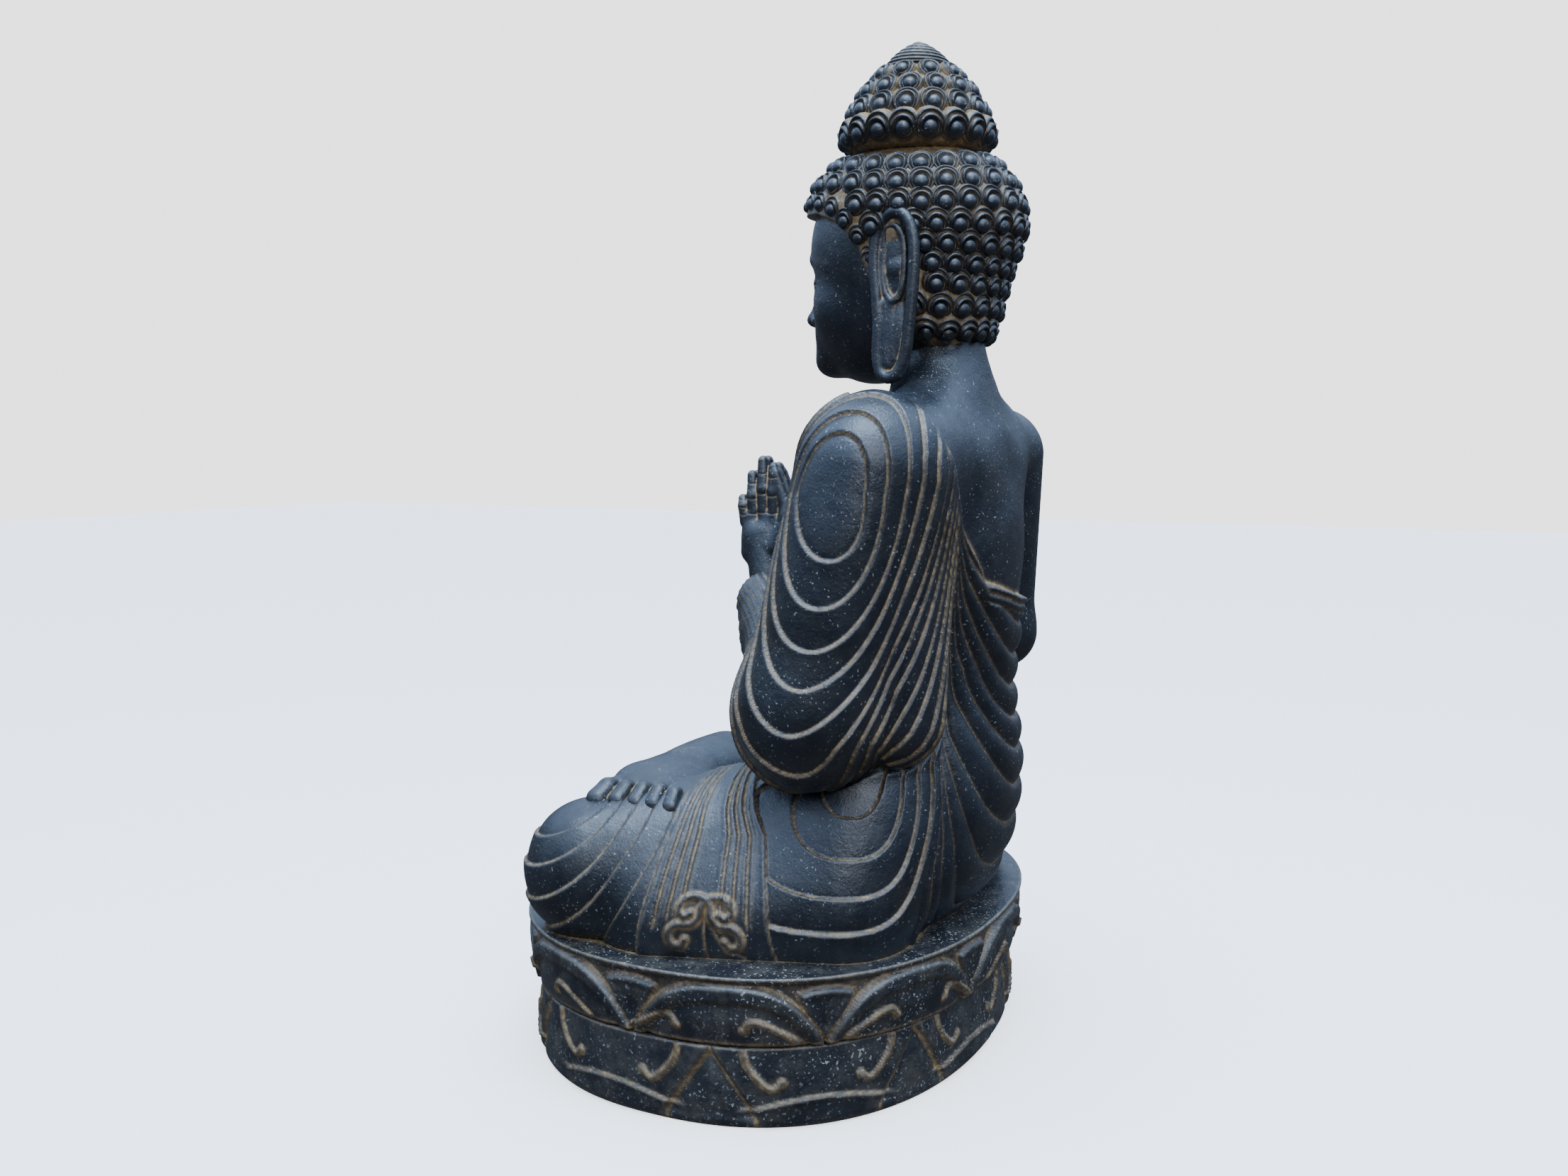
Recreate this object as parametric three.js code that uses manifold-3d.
// Seated buddha statue in dark cast stone, palms together, on a two-tier lotus base.
// Units are millimetres, +Z is up. The origin is the middle of the underside of the base.
// The figure faces -Y, so its left side is on +X.
import * as THREE from 'three';
import { ConvexGeometry } from 'three/addons/geometries/ConvexGeometry.js';
import { mergeVertices } from 'three/addons/utils/BufferGeometryUtils.js';
import Module from 'manifold-3d';

const wasm = await Module();
wasm.setup();

// ---------------------------------------------------------------- driving dimensions
const gap = 0.4;                    // clearance between parts that touch
const bed = 3;                      // thickness of a mortar bed
const tierJoint = 114;              // height of the joint between the two lotus tiers
const platform = 214;               // height of the top of the upper tier
const waistJoint = 430;             // height of the joint between lap and trunk
const waistFront = 60;              // Y of the front edge of that joint
const shoulderJoint = 178;          // X of the joint between trunk and either arm
const wristJoint = 700;             // height of the joint under the hands
const neckJoint = 1000;             // height of the joint under the chin
const knotJoint = 1333;             // height of the joint under the topknot
const finialJoint = 1458;           // height of the joint under the ribbed finial
const statueTop = 1498;             // tip of the finial

const lowerTier = { halfX: 420, halfY: 345, rim: 10 };
const upperTier = { halfX: 432, halfY: 366, rim: 12 };
const tierPower = 2.3;              // exponent of the tiers' rounded outline
const seatBed = { halfX: 200, halfY: 150, y: 120 };

const postY = 240;                  // the steel post stands under the neck
const postFoot = 40;
const postHead = 1110;
const postRadius = 16;
const dowelRadius = 8;
const headY = 218;                  // axis of the topknot and finial

const sphereDetail = 2;             // subdivision of the spheres that skins are drawn over
const smallRadius = 40;             // spheres smaller than this are subdivided once only

// ---------------------------------------------------------------- joints of the figure
// Each entry is a centre and a radius, or three radii along X, Y and Z.
const belly = [0, 228, 450, 180, 122, 70];
const waist = [0, 245, 590, 165, 115, 120];
const chest = [0, 250, 800, 176, 122, 150];
const hips = [0, 205, 360, 250, 155, 170];
const shoulderBlade = [105, 265, 900, 125, 82, 68];
const neckRoot = [0, 265, 930, 78];
const neckTop = [0, 250, 1070, 70];

const leftShoulder = [222, 258, 885, 92];
const leftElbow = [272, 175, 560, 88];
const leftForearm = [100, 50, 635, 56];
const leftCuff = [50, 8, 668, 46];
const sleeveFront = [100, 85, 505, 55];
const sleeveBack = [262, 158, 530, 78];
const sleeveWeb = [[205, 268, 870, 64], [150, 290, 840, 50], [215, 262, 520, 62], [140, 292, 500, 46]];

const rightShoulder = [-243, 270, 897, 76];
const rightElbow = [-295, 262, 600, 56];
const rightWrist = [-34, -6, 712, 33];

const hipBall = [130, 160, 340, 122];
const hipHem = [205, 175, 262, 105];
const knee = [308, -152, 305, 88];
const thighHem = [305, -40, 255, 82];
const leftKnee = [308, -165, 288, 84];
const rightKnee = [-308, -165, 298, 84];
const leftAnkle = [-140, -250, 272, 56];
const rightAnkle = [60, -180, 352, 50];
const lapCloth = [[0, 60, 320, 90], [120, -110, 290, 85], [-120, -110, 290, 85]];

const heel = [70, -150, 415, 34];
const footBall = [205, -125, 408, 36];
const toes = [262, -115, 396, 22];

// ---------------------------------------------------------------- solids
function solid(geometry) {
  const bare = geometry.clone();
  bare.deleteAttribute('normal');
  bare.deleteAttribute('uv');
  const merged = mergeVertices(bare, 1e-4);
  return new wasm.Manifold(new wasm.Mesh({
    numProp: 3,
    vertProperties: new Float32Array(merged.attributes.position.array),
    triVerts: new Uint32Array(merged.index.array),
  }));
}

function geometryOf(manifold) {
  const mesh = manifold.getMesh();
  const geometry = new THREE.BufferGeometry();
  geometry.setAttribute('position', new THREE.BufferAttribute(mesh.vertProperties, 3));
  geometry.setIndex(new THREE.BufferAttribute(mesh.triVerts, 1));
  geometry.computeVertexNormals();
  return geometry;
}

// points of a sphere or ellipsoid; extra makes every radius that much larger
function shell([x, y, z, rx, ry = rx, rz = rx], extra = 0) {
  const sphere = new THREE.IcosahedronGeometry(1, rx < smallRadius ? 1 : sphereDetail);
  const at = mergeVertices(sphere.deleteAttribute('normal').deleteAttribute('uv'), 1e-4)
    .attributes.position;
  const points = [];
  for (let i = 0; i < at.count; i += 1) {
    points.push(new THREE.Vector3(
      x + at.getX(i) * (rx + extra),
      y + at.getY(i) * (ry + extra),
      z + at.getZ(i) * (rz + extra),
    ));
  }
  return points;
}

// one convex skin drawn over several spheres
function skin(balls, extra = 0) {
  return solid(new ConvexGeometry(balls.flatMap((ball) => shell(ball, extra))));
}

function mirrored([x, ...rest]) {
  return [-x, ...rest];
}

function block(x0, x1, y0, y1, z0, z1) {
  const box = new THREE.BoxGeometry(x1 - x0, y1 - y0, z1 - z0);
  box.translate((x0 + x1) / 2, (y0 + y1) / 2, (z0 + z1) / 2);
  return solid(box);
}

// everything on the far side of an upright plane through (x, y) that looks along (nx, ny)
function halfSpace(x, y, nx, ny) {
  const reach = 2000;
  const box = new THREE.BoxGeometry(reach, reach, reach);
  box.translate(reach / 2, 0, 0);
  box.rotateZ(Math.atan2(ny, nx));
  box.translate(x, y, wristJoint);
  return solid(box);
}

function above(z) {
  return block(-900, 900, -900, 900, z, 3000);
}

function below(z) {
  return block(-900, 900, -900, 900, -100, z);
}

// a round bar between two points
function bar(from, to, radius) {
  const a = new THREE.Vector3(...from);
  const b = new THREE.Vector3(...to);
  const rod = new THREE.CylinderGeometry(radius, radius, a.distanceTo(b), 12);
  const along = b.clone().sub(a).normalize();
  rod.applyQuaternion(new THREE.Quaternion().setFromUnitVectors(new THREE.Vector3(0, 1, 0), along));
  rod.translate((a.x + b.x) / 2, (a.y + b.y) / 2, (a.z + b.z) / 2);
  return rod;
}

// the hole that a bar sits in: wider by a ring of grout and longer at both ends
function socket(from, to, radius) {
  const a = new THREE.Vector3(...from);
  const b = new THREE.Vector3(...to);
  const along = b.clone().sub(a).normalize().multiplyScalar(2);
  return solid(bar(a.sub(along).toArray(), b.add(along).toArray(), radius + 1.5));
}

function tierOutline(halfX, halfY, sides) {
  const shape = new THREE.Shape();
  for (let i = 0; i < sides; i += 1) {
    const turn = (2 * Math.PI * i) / sides;
    const c = Math.cos(turn);
    const s = Math.sin(turn);
    const x = halfX * Math.sign(c) * Math.abs(c) ** (2 / tierPower);
    const y = halfY * Math.sign(s) * Math.abs(s) ** (2 / tierPower);
    if (i === 0) {
      shape.moveTo(x, y);
    } else {
      shape.lineTo(x, y);
    }
  }
  shape.closePath();
  return shape;
}

// a slab with rounded rims, from z0 to z1
function tier({ halfX, halfY, rim }, z0, z1) {
  const geometry = new THREE.ExtrudeGeometry(tierOutline(halfX - rim, halfY - rim, 56), {
    depth: z1 - z0 - 2 * rim,
    bevelEnabled: true,
    bevelThickness: rim,
    bevelSize: rim,
    bevelSegments: 2,
  });
  geometry.translate(0, 0, z0 + rim);
  return solid(geometry);
}

function turned(profile, y) {
  const points = profile.map(([radius, z]) => new THREE.Vector2(radius, z));
  const geometry = new THREE.LatheGeometry(points, 24);
  geometry.rotateX(Math.PI / 2);
  geometry.translate(0, y, 0);
  return solid(geometry);
}

// ---------------------------------------------------------------- bars and dowels
const bars = {
  armature_post: [[0, postY, postFoot], [0, postY, postHead], postRadius],
  shoulder_bar: [[-235, 274, 868], [222, 274, 868], dowelRadius + 2],
  left_elbow_dowel: [[250, 152, 572], [150, 82, 614], dowelRadius],
  right_elbow_dowel: [[-262, 228, 615], [-150, 112, 664], dowelRadius],
  left_wrist_dowel: [[24, -12, 655], [24, -22, 750], 5],
  right_wrist_dowel: [[-75, 37, 692], [-36, -8, 712], 5],
  topknot_dowel: [[0, headY, 1285], [0, headY, 1390], dowelRadius],
  finial_dowel: [[0, headY, 1430], [0, headY, 1474], 4],
};
const plinthDowels = [[260, -200], [260, 200], [-260, 200], [-260, -200]];
plinthDowels.forEach(([x, y], i) => {
  bars[`plinth_dowel_${i + 1}`] = [[x, y, 70], [x, y, 160], dowelRadius];
});
const seatDowels = [[200, -60], [-200, -60]];
seatDowels.forEach(([x, y], i) => {
  bars[`seat_dowel_${i + 1}`] = [[x, y, 160], [x, y, 270], dowelRadius];
});

function drilled(body, ...names) {
  return names.reduce((left, name) => left.subtract(socket(...bars[name])), body);
}

const plinthDowelNames = plinthDowels.map((_, i) => `plinth_dowel_${i + 1}`);
const seatDowelNames = seatDowels.map((_, i) => `seat_dowel_${i + 1}`);

// ---------------------------------------------------------------- base
function lowerLotusTier() {
  const body = tier(lowerTier, 0, tierJoint);
  return drilled(body, 'armature_post', ...plinthDowelNames);
}

function upperLotusTier() {
  const body = tier(upperTier, tierJoint + bed, platform);
  return drilled(body, 'armature_post', ...plinthDowelNames, ...seatDowelNames);
}

// a flat cushion of mortar between two castings, cut off just short of both
function mortarBed(halfX, halfY, y, z) {
  const geometry = new THREE.ExtrudeGeometry(tierOutline(halfX, halfY, 40), {
    depth: bed - 2 * gap,
    bevelEnabled: false,
  });
  geometry.translate(0, y, z + gap);
  return solid(geometry);
}

function tierBed() {
  const body = mortarBed(lowerTier.halfX - 25, lowerTier.halfY - 25, 0, tierJoint);
  return drilled(body, 'armature_post', ...plinthDowelNames);
}

function seatMortar() {
  const body = mortarBed(seatBed.halfX, seatBed.halfY, seatBed.y, platform);
  return drilled(body, 'armature_post');
}

// ---------------------------------------------------------------- lap and trunk
function legs() {
  const thigh = [hipBall, hipHem, knee, thighHem];
  const pelvis = skin([hips, hipHem, mirrored(hipHem)]);
  const shins = skin([leftKnee, leftAnkle]).add(skin([rightKnee, rightAnkle]));
  return skin(thigh).add(skin(thigh.map(mirrored))).add(shins).add(pelvis).add(skin(lapCloth));
}

function lapBlock() {
  const trunkSeat = block(-900, 900, waistFront - gap, 900, waistJoint, 900);
  const body = legs()
    .intersect(above(platform + bed))
    .subtract(trunkSeat)
    .subtract(skin([heel, footBall, toes], 2 * gap));
  return drilled(body, 'armature_post', ...seatDowelNames);
}

function waistMortar() {
  const body = mortarBed(150, 80, 250, waistJoint);
  return drilled(body, 'armature_post');
}

function torso() {
  const trunk = skin([waist, chest, shoulderBlade, mirrored(shoulderBlade)])
    .add(skin([belly, waist]))
    .add(skin(sleeveWeb));
  const neck = skin([neckRoot, neckTop]);
  const seat = block(-shoulderJoint, shoulderJoint, waistFront, 900, waistJoint + bed, neckJoint);
  const body = trunk.add(neck).add(legs()).intersect(seat);
  return drilled(body, 'armature_post', 'shoulder_bar');
}

// ---------------------------------------------------------------- arms and hands
const leftElbowFront = [205, 122, -0.78, -0.62];
const rightElbowFront = [-198, 160, 0.707, -0.707];
const rightWristFront = [-58, 18, 0.707, -0.707];

function beyond([x, y, nx, ny], shift = 0) {
  return halfSpace(x + nx * shift, y + ny * shift, nx, ny);
}

function leftArm() {
  const upper = skin([leftShoulder, leftElbow]).add(skin(sleeveWeb));
  const fore = skin([leftElbow, leftForearm]).add(skin([leftForearm, leftCuff]));
  const sleeve = skin([leftCuff, sleeveFront]).add(skin([sleeveFront, sleeveBack]));
  return upper.add(fore).add(sleeve).add(skin([leftForearm, sleeveFront, sleeveBack]));
}

function leftUpperArm() {
  const outside = block(shoulderJoint + gap, 900, -900, 900, 0, 1200);
  const body = leftArm().intersect(outside).subtract(beyond(leftElbowFront));
  return drilled(body, 'shoulder_bar', 'left_elbow_dowel');
}

function leftForearmSleeve() {
  const inside = block(gap, 900, -900, 900, 0, wristJoint);
  const body = leftArm().intersect(inside).intersect(beyond(leftElbowFront, gap));
  return drilled(body, 'left_elbow_dowel', 'left_wrist_dowel').subtract(torso());
}

function rightArm() {
  return skin([rightElbow, rightWrist]).add(skin([rightShoulder, rightElbow]));
}

function rightUpperArm() {
  const outside = block(-900, -shoulderJoint - gap, -900, 900, 0, 1200);
  const body = rightArm().intersect(outside).subtract(beyond(rightElbowFront));
  return drilled(body, 'shoulder_bar', 'right_elbow_dowel');
}

function rightForearm() {
  const body = rightArm()
    .intersect(beyond(rightElbowFront, gap))
    .subtract(beyond(rightWristFront, -gap));
  return drilled(body, 'right_elbow_dowel', 'right_wrist_dowel');
}

// four fingers and a thumb, pressed flat against the other hand
function hand() {
  const wrist = [21, -24, 690, 30];
  const heelOfHand = [17, -32, 745, 16, 32, 26];
  const knuckles = [14, -38, 803, 13, 36, 14];
  let body = skin([wrist, heelOfHand]).add(skin([heelOfHand, knuckles]));
  const tips = [[-66, 842], [-49, 878], [-30, 899], [-10, 888]];
  tips.forEach(([y, z], i) => {
    body = body.add(skin([[12, -62 + 17 * i, 800, 11], [10, y, z, 8]]));
  });
  return body.add(skin([[18, -8, 760, 15], [15, 20, 824, 9]]));
}

function leftHand() {
  const side = block(gap, 200, -900, 900, wristJoint + gap, 1000);
  return drilled(hand().intersect(side), 'left_wrist_dowel');
}

function rightHand() {
  const side = block(-200, -gap, -900, 900, 0, 1000);
  const reflected = hand().mirror([1, 0, 0]).intersect(above(wristJoint));
  const body = reflected.add(rightArm().intersect(above(655))).intersect(side);
  return drilled(body.intersect(beyond(rightWristFront, gap)), 'right_wrist_dowel')
    .subtract(leftForearmSleeve());
}

function rightFoot() {
  return skin([heel, footBall, toes]);
}

// ---------------------------------------------------------------- head
function ear(side, extra = 0) {
  const upper = [side * 128, 238, 1195, 15, 34, 44];
  const lobe = [side * 126, 222, 1045, 12, 24, 36];
  return skin([upper, lobe], extra);
}

function neckMortar() {
  const body = mortarBed(58, 58, 255, neckJoint);
  return drilled(body, 'armature_post');
}

function head() {
  const cranium = skin([[0, 213, 1220, 128, 155, 128]]);
  const face = skin([[0, 185, 1180, 112, 120, 100], [0, 150, 1075, 76, 80, 70]]);
  const nape = skin([[0, 255, 1130, 105, 82, 100]]);
  const nose = skin([[0, 84, 1190, 12], [0, 64, 1130, 15], [0, 100, 1130, 22]]);
  const neck = skin([neckRoot, neckTop]);
  const body = cranium.add(face).add(nape).add(nose).add(neck)
    .intersect(block(-900, 900, -900, 900, neckJoint + bed, knotJoint - gap))
    .subtract(ear(1, gap * 2))
    .subtract(ear(-1, gap * 2));
  return drilled(body, 'armature_post', 'topknot_dowel');
}

function topknot() {
  const profile = [
    [0, knotJoint], [88, knotJoint], [103, knotJoint + 12], [106, knotJoint + 28],
    [99, knotJoint + 55], [84, knotJoint + 82], [64, knotJoint + 108],
    [50, finialJoint - gap], [0, finialJoint - gap],
  ];
  return drilled(turned(profile, headY), 'topknot_dowel', 'finial_dowel');
}

// a low cone whose ribs step inwards to the tip
function finial() {
  const ribs = 5;
  const profile = [[0, finialJoint]];
  for (let i = 0; i < ribs; i += 1) {
    const low = finialJoint + (i * (statueTop - finialJoint)) / ribs;
    const radius = 48 * (1 - i / ribs) ** 0.8;
    profile.push([radius - 3, low + 0.5], [radius, low + 3]);
  }
  profile.push([0, statueTop]);
  return drilled(turned(profile, headY), 'finial_dowel');
}

// ---------------------------------------------------------------- materials and assembly
function stone(colour) {
  return new THREE.MeshStandardMaterial({ color: colour, roughness: 0.55, metalness: 0 });
}

function mortar() {
  return new THREE.MeshStandardMaterial({ color: 0x7a6a4c, roughness: 0.9, metalness: 0 });
}

function steel() {
  return new THREE.MeshStandardMaterial({ color: 0x8c8f92, roughness: 0.45, metalness: 1 });
}

const statue = new THREE.Group();

function place(name, body, material) {
  const mesh = new THREE.Mesh(geometryOf(body), material);
  mesh.name = name;
  statue.add(mesh);
}

const darkStone = 0x23282f;
const dustyStone = 0x34363a;

place('lower_lotus_tier', lowerLotusTier(), stone(dustyStone));
place('tier_bed', tierBed(), mortar());
place('upper_lotus_tier', upperLotusTier(), stone(dustyStone));
place('seat_bed', seatMortar(), mortar());
place('lap_block', lapBlock(), stone(darkStone));
place('right_foot', rightFoot(), stone(darkStone));
place('waist_bed', waistMortar(), mortar());
place('torso', torso(), stone(darkStone));
place('left_upper_arm', leftUpperArm(), stone(darkStone));
place('left_forearm_sleeve', leftForearmSleeve(), stone(darkStone));
place('right_upper_arm', rightUpperArm(), stone(darkStone));
place('right_forearm', rightForearm(), stone(darkStone));
place('left_hand', leftHand(), stone(darkStone));
place('right_hand', rightHand(), stone(darkStone));
place('neck_bed', neckMortar(), mortar());
place('head', head(), stone(darkStone));
place('left_ear', ear(1), stone(darkStone));
place('right_ear', ear(-1), stone(darkStone));
place('topknot', topknot(), stone(darkStone));
place('finial', finial(), stone(darkStone));
for (const [name, ends] of Object.entries(bars)) {
  place(name, solid(bar(...ends)), steel());
}

export default statue;
